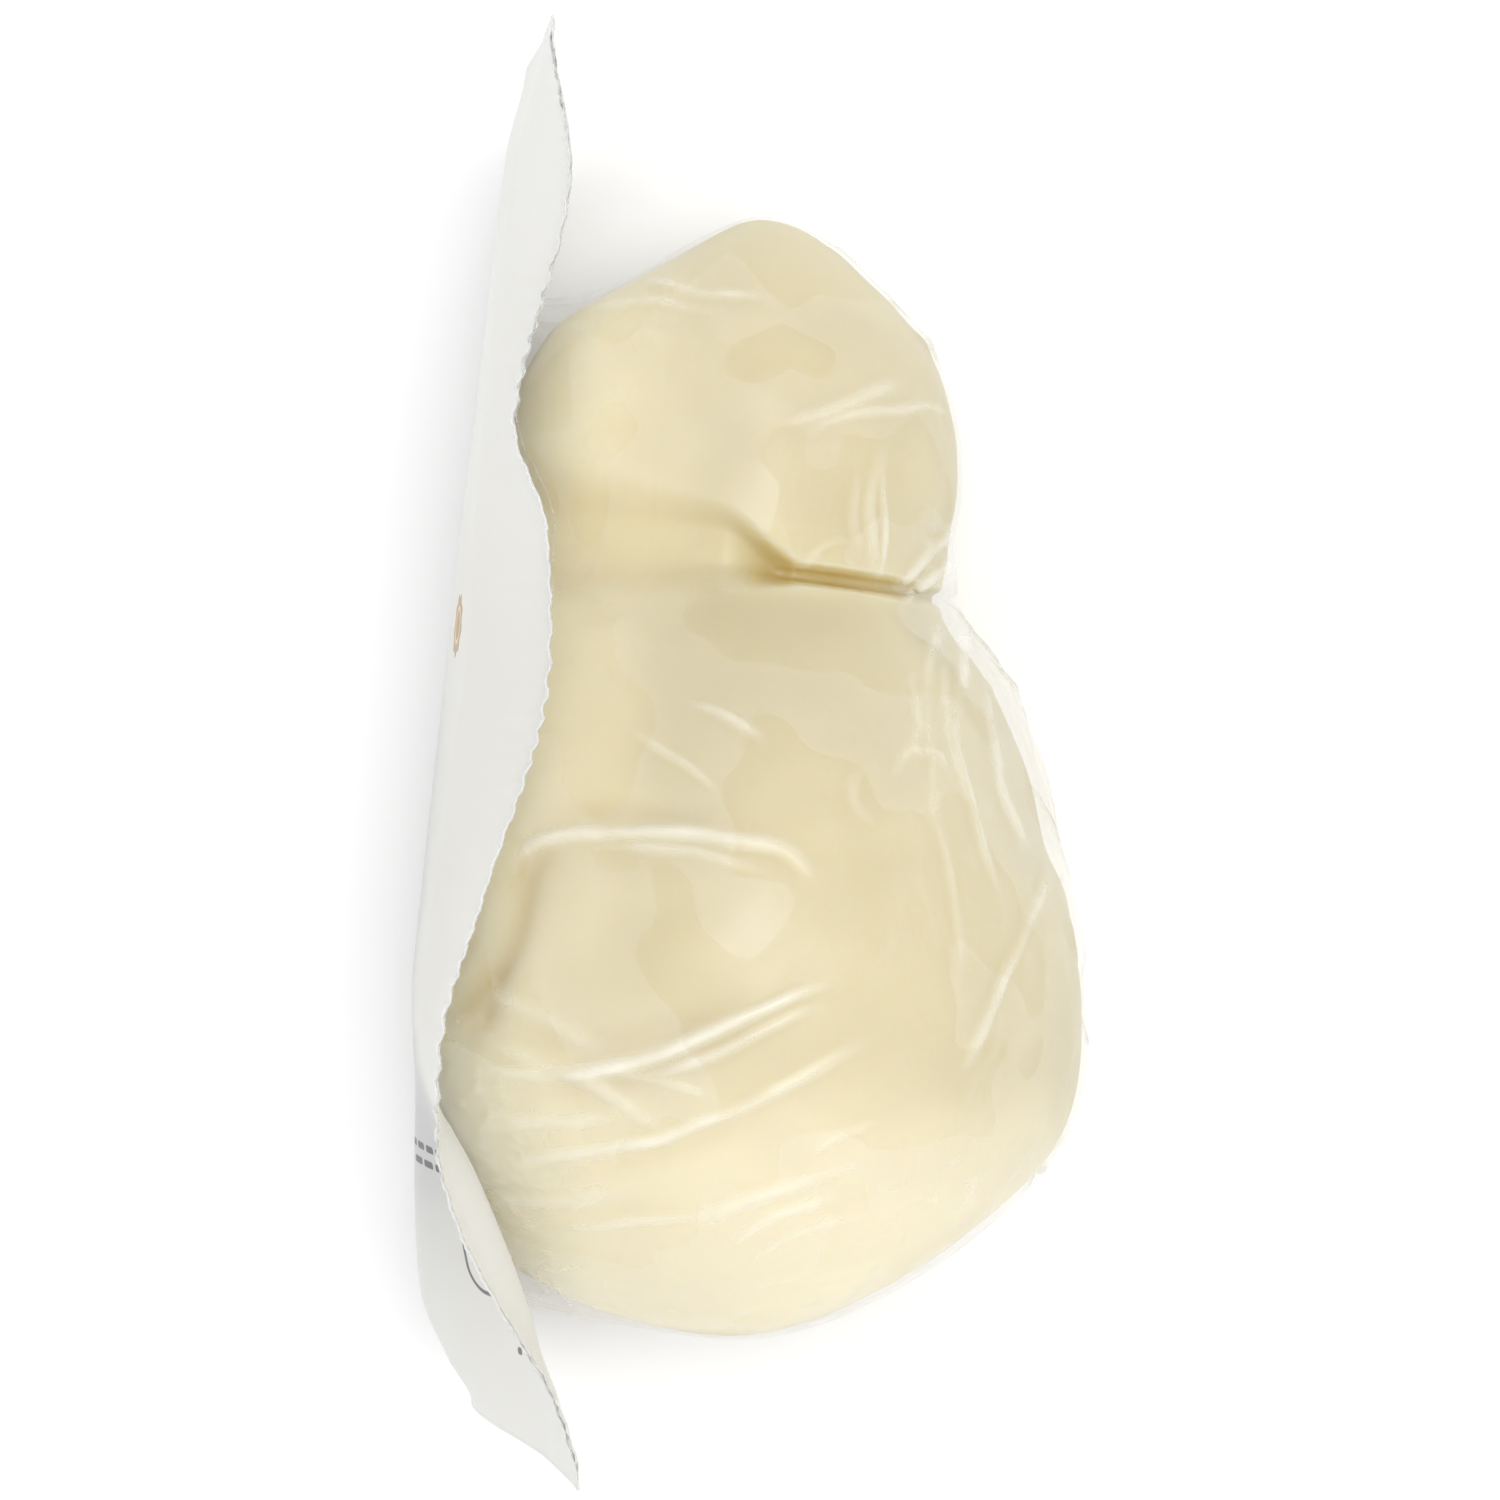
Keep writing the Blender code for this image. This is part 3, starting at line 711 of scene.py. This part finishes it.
def make_margin():
    """The clear film sealed over the sheet's inner face, with its cut edge a little past the sheet's."""
    rows, columns = ((70, 340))
    points, down = sheet_grid(rows, columns, SEAL_STRIP)
    off = normals_of(points, False)
    if off[rows // 2, columns // 2, 0] < 0:
        off = -off
    from_blister = (points[..., 1] - BLISTER_Y) / BLISTER_HALF_WIDTH
    blister = BLISTER_HEIGHT * np.exp(-from_blister ** 2) * np.exp(-down / BLISTER_DEPTH)
    points = points + off * (SEAL_GAP + blister)[..., None]
    points[..., 2] = np.maximum(points[..., 2], 0.0)
    haze = SEAL_BASE_HAZE + SEAL_HAZE * above(crinkle(points, *SEAL_CREASES), SEAL_FROM)
    haze = haze + CUT_EDGE_HAZE * np.exp(-down / CUT_EDGE_WIDTH)
    haze = np.clip(haze, 0, 1)
    return mesh_object("film_margin", points - CENTRE, grid_faces(rows, columns), {"haze": haze})


# ---------------------------------------------------------------- materials
class Nodes:
    """A material's node tree with short ways to add and join nodes."""

    def __init__(self, name):
        self.material = bpy.data.materials.new(name)
        self.material.use_nodes = True
        self.tree = self.material.node_tree
        self.shader = self.tree.nodes["Principled BSDF"]
        self.out = self.tree.nodes["Material Output"]

    def add(self, kind, **settings):
        made = self.tree.nodes.new(kind)
        for key, value in settings.items():
            setattr(made, key, value)
        return made

    def put(self, socket, value):
        """Joins a socket to another, or sets it to a plain value."""
        if isinstance(value, bpy.types.NodeSocket):
            self.tree.links.new(value, socket)
        else:
            socket.default_value = value

    def surface(self, **values):
        """Sets the shader's own sockets, whose names have a _ for each space."""
        for key, value in values.items():
            self.put(self.shader.inputs[key.replace("_", " ")], value)

    def maths(self, operation, *values, clamp=False):
        made = self.add("ShaderNodeMath", operation=operation, use_clamp=clamp)
        for socket, value in zip(made.inputs, values):
            self.put(socket, value)
        return made.outputs[0]

    def length(self, a, b):
        squares = self.maths("ADD", self.maths("POWER", a, 2.0), self.maths("POWER", b, 2.0))
        return self.maths("SQRT", squares)

    def ramp(self, value, low, high, to_low=0.0, to_high=1.0):
        made = self.add("ShaderNodeMapRange", clamp=True, interpolation_type="SMOOTHSTEP")
        for i, v in enumerate((value, low, high, to_low, to_high)):
            self.put(made.inputs[i], v)
        return made.outputs[0]

    def colour(self, share, a, b):
        made = self.add("ShaderNodeMix", data_type="RGBA")
        self.put(made.inputs[0], share)
        self.put(made.inputs[6], a)
        self.put(made.inputs[7], b)
        return made.outputs[2]

    def noise(self, scale, detail=2.0, rough=0.5, distort=0.0):
        made = self.add("ShaderNodeTexNoise")
        self.put(made.inputs["Vector"], self.add("ShaderNodeTexCoord").outputs["Object"])
        made.inputs["Scale"].default_value = scale
        made.inputs["Detail"].default_value = detail
        made.inputs["Roughness"].default_value = rough
        made.inputs["Distortion"].default_value = distort
        return made.outputs["Fac"]

    def attribute(self, name):
        return self.add("ShaderNodeAttribute", attribute_name=name).outputs["Fac"]

    def bump(self, height, distance):
        made = self.add("ShaderNodeBump")
        made.inputs["Strength"].default_value = 1.0
        made.inputs["Distance"].default_value = distance
        self.put(made.inputs["Height"], height)
        return made.outputs[0]


def cheese_material():
    """Cream, paler next to the sheet and at the body's end as painted light, and deeper in creases, dents
    and beside folds as painted shade.
    """
    n = Nodes("scamorza_cheese")
    # The second colour is painted shade for the hollows, the third is painted light.
    cream, deep, painted_light = (0.615, 0.545, 0.345, 1), (0.730, 0.560, 0.160, 1), (0.890, 0.810, 0.575, 1)
    patches = n.ramp(n.noise(38.0, 2.0, 0.5, 0.6), 0.42, 0.62)
    # Random paler patches, plus the painted light.
    patches_and_painted_light = n.maths("ADD", n.maths("MULTIPLY", patches, 0.12), n.attribute("painted_light"), clamp=True)
    # Painted shade in the crease, the dents and beside folds.
    painted_shade = n.maths("MULTIPLY", n.attribute("painted_shade"), 0.75)
    n.surface(
        Base_Color=n.colour(painted_shade, n.colour(patches_and_painted_light, cream, painted_light), deep),
        Roughness=0.45,
        Subsurface_Weight=1.0,
        Subsurface_Radius=(1.0, 0.85, 0.60),
        Subsurface_Scale=0.010,
        Normal=n.bump(n.noise(420.0, 3.0, 0.6), 0.00005),
    )
    return n.material


def film_material():
    """Thin clear film: mostly see-through, and whiter where it is folded, crinkled or off the cheese. It
    also carries painted light by the sheet and a painted highlight on the patches' rims.
    """
    n = Nodes("clear_film")
    cover = n.maths("MULTIPLY_ADD", n.attribute("haze"), 0.60, 0.05, clamp=True)
    n.surface(Base_Color=(0.97, 0.96, 0.89, 1), Roughness=0.22, IOR=1.5)
    clear = n.add("ShaderNodeBsdfTransparent")
    both = n.add("ShaderNodeMixShader")
    n.put(both.inputs[0], cover)
    n.put(both.inputs[1], clear.outputs[0])
    n.put(both.inputs[2], n.shader.outputs[0])
    n.put(n.out.inputs["Surface"], both.outputs[0])
    return n.material


def sheet_material():
    """White sheet, with print on its outer face: a tan rosette, a dark loop and rows of short dark bars."""
    n = Nodes("white_sheet")
    place = n.add("ShaderNodeSeparateXYZ")
    n.put(place.inputs[0], n.add("ShaderNodeTexCoord").outputs["Object"])
    y, down, outer = place.outputs["Y"], n.attribute("down"), n.attribute("outer")

    def outside(value, middle, half):
        """How far a value is beyond half on either side of the middle, and 0 within."""
        away = n.maths("ABSOLUTE", n.maths("SUBTRACT", value, middle))
        return n.maths("MAXIMUM", n.maths("SUBTRACT", away, half), 0.0)

    def box(middle_y, middle_down, half_y, half_down, round_by):
        """Distance outside a rounded box, which is below 0 inside it."""
        a = outside(y, middle_y, half_y - round_by)
        b = outside(down, middle_down, half_down - round_by)
        return n.maths("SUBTRACT", n.length(a, b), round_by)

    def inked(distance, line=None):
        """1 inside a shape, or on a line along its outline."""
        if line:
            distance = n.maths("SUBTRACT", n.maths("ABSOLUTE", distance), line)
        return n.ramp(distance, -INK_BLUR, INK_BLUR, 1.0, 0.0)

    dy, dv = n.maths("SUBTRACT", y, ROSETTE_AT[0]), n.maths("SUBTRACT", down, ROSETTE_AT[1])
    radius = n.length(dy, dv)
    petal_turn = n.maths("MULTIPLY", n.maths("ARCTAN2", dv, dy), PETALS)
    petals = n.maths("MULTIPLY", n.maths("COSINE", petal_turn), PETAL_DEPTH)
    rosette = inked(n.maths("SUBTRACT", n.maths("ADD", radius, petals), ROSETTE_RADIUS))
    ring = inked(n.maths("SUBTRACT", radius, RING_RADIUS), RING_HALF_LINE)
    dark = inked(box(*LOOP), LOOP_HALF_LINE)
    for middle_y, middle_down, half_down in BARS:
        bar = box(middle_y, middle_down, BAR_HALF_Y, half_down, BAR_ROUNDING)
        dark = n.maths("MAXIMUM", dark, inked(bar))
    white = n.colour(n.ramp(n.noise(30.0), 0.3, 0.7), (0.595, 0.598, 0.582, 1), (0.635, 0.638, 0.622, 1))
    tan = n.colour(ring, (0.330, 0.215, 0.100, 1), (0.600, 0.480, 0.320, 1))
    printed = n.colour(n.maths("MULTIPLY", rosette, outer), white, tan)
    printed = n.colour(n.maths("MULTIPLY", dark, outer), printed, (0.090, 0.088, 0.100, 1))
    n.surface(
        Base_Color=printed,
        Roughness=0.42,
        Subsurface_Weight=1.0,
        Subsurface_Radius=(1.0, 0.98, 0.94),
        Subsurface_Scale=0.0015,
        Normal=n.bump(n.noise(70.0, 4.0, 0.6), 0.00010),
    )
    return n.material


# ---------------------------------------------------------------- the studio
def floor_material():
    n = Nodes("floor_paper")
    n.surface(Base_Color=(0.93, 0.93, 0.93, 1), Roughness=0.9, Specular_IOR_Level=0.1)
    return n.material


def add_floor():
    mesh = bpy.data.meshes.new("floor")
    size = FLOOR_HALF_SIZE
    corners = [(-size, -size, 0), (size, -size, 0), (size, size, 0), (-size, size, 0)]
    mesh.from_pydata(corners, [], [(0, 1, 2, 3)])
    made = bpy.data.objects.new("floor", mesh)
    made.location.z = -FLOOR_DROP
    made.data.materials.append(floor_material())
    bpy.context.scene.collection.objects.link(made)


def add_light(name, place, size, power):
    data = bpy.data.lights.new(name, "AREA")
    data.shape = "DISK"
    data.size = size
    data.energy = power
    made = bpy.data.objects.new(name, data)
    made.location = place
    made.rotation_euler = (Vector(LIGHTS_AIM) - Vector(place)).to_track_quat("-Z", "Y").to_euler()
    bpy.context.scene.collection.objects.link(made)


def add_camera():
    """Straight above the pack and close to it, rolled so that the sheet leans a little clockwise."""
    data = bpy.data.cameras.new("camera")
    data.sensor_width = 36.0
    data.lens = CAMERA_LENS
    data.clip_start = 0.01
    made = bpy.data.objects.new("camera", data)
    made.location = CAMERA_PLACE
    made.rotation_euler = (0, 0, math.radians(CAMERA_ROLL))
    bpy.context.scene.collection.objects.link(made)
    bpy.context.scene.camera = made


def studio():
    scene = bpy.context.scene
    scene.view_settings.view_transform = "Standard"
    world = bpy.data.worlds.new("studio")
    world.use_nodes = True
    world.node_tree.nodes["Background"].inputs["Color"].default_value = (1.0, 1.0, 1.0, 1)
    world.node_tree.nodes["Background"].inputs["Strength"].default_value = WORLD_STRENGTH
    scene.world = world
    add_floor()
    for light in LIGHTS:
        add_light(*light)
    add_camera()


film, cheese, sheet, margin = make_film(), make_cheese(), make_sheet(), make_margin()
for piece, material, slot in (
    (film, film_material(), "film"), (cheese, cheese_material(), "cheese"),
    (sheet, sheet_material(), "sheet"), (margin, None, "film"),
):
    piece.data.materials.append(material or film.data.materials[0])
    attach(piece, "root")
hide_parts("cheese_in_film")
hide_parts("cheese_in_film")
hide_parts("backing_sheet")
studio()
